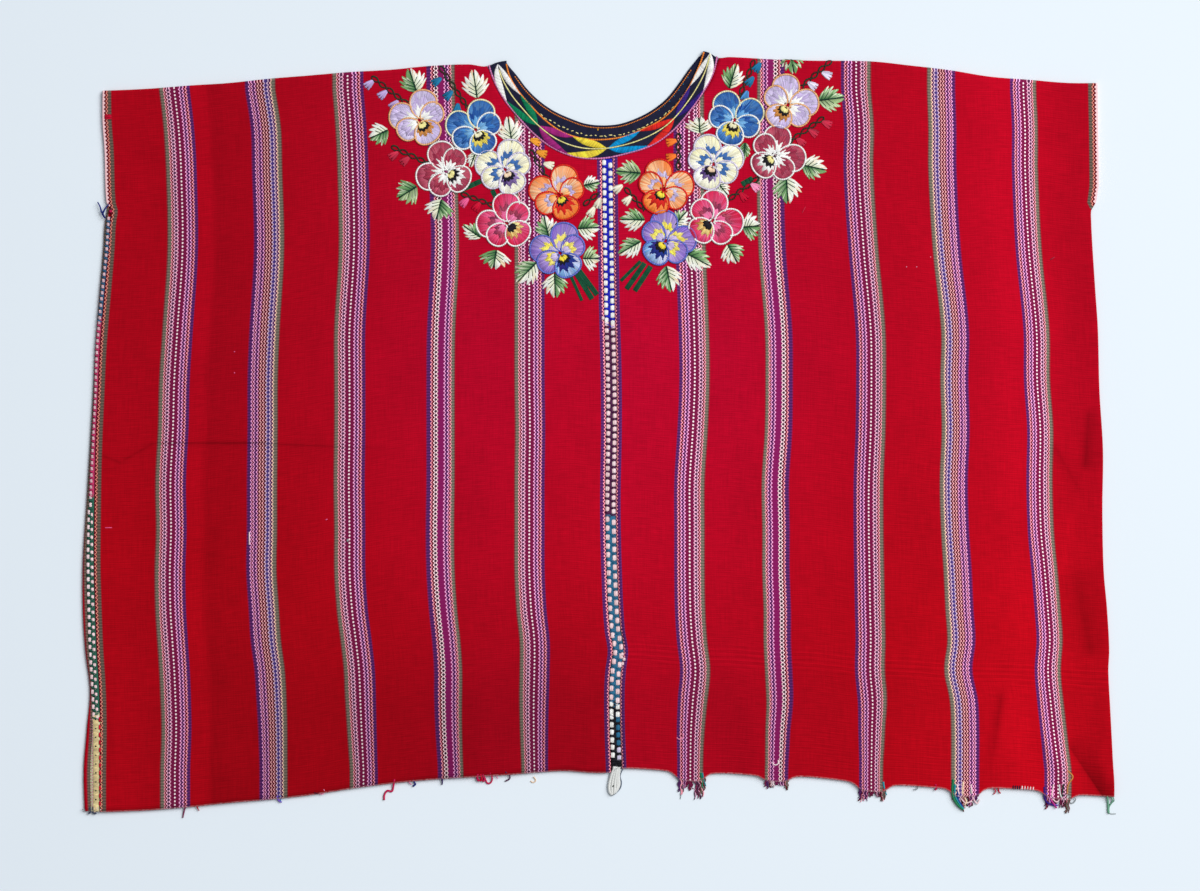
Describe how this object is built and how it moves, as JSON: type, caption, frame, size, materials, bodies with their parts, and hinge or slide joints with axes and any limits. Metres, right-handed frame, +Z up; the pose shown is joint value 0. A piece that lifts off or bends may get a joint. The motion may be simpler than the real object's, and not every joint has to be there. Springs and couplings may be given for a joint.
{
  "type": "huipil blouse",
  "caption": "Wide sleeveless woven blouse lying flat: two striped loom widths folded at the shoulders, joined by stitched seams, with a round neck bound in embroidered ribbon.",
  "frame": {"origin": "middle of the garment's footprint, on the surface that it lies on", "axes": "+X across the garment towards the right of the front as seen, +Y from the hem to the neck, +Z up out of the front"},
  "size_m": [0.8124, 0.6008, 0.0053],
  "materials": {
    "woven_cotton": "red warp-faced cotton with woven stripes, matte",
    "stitch_thread": "cotton and mercerised embroidery thread, soft sheen",
    "ribbon_cloth": "black ribbon cloth under coloured satin stitches, soft sheen"
  },
  "bodies": {
    "root": {"left_panel": "woven_cotton", "right_panel": "woven_cotton", "front_centre_seam": "stitch_thread", "back_centre_seam": "stitch_thread", "left_side_seam": "stitch_thread", "right_side_seam": "stitch_thread", "neck_ribbon": "ribbon_cloth", "hem_fray_1": "stitch_thread", "hem_fray_2": "stitch_thread", "hem_fray_3": "stitch_thread", "hem_fray_4": "stitch_thread", "hem_fray_5": "stitch_thread"}
  },
  "joints": []
}
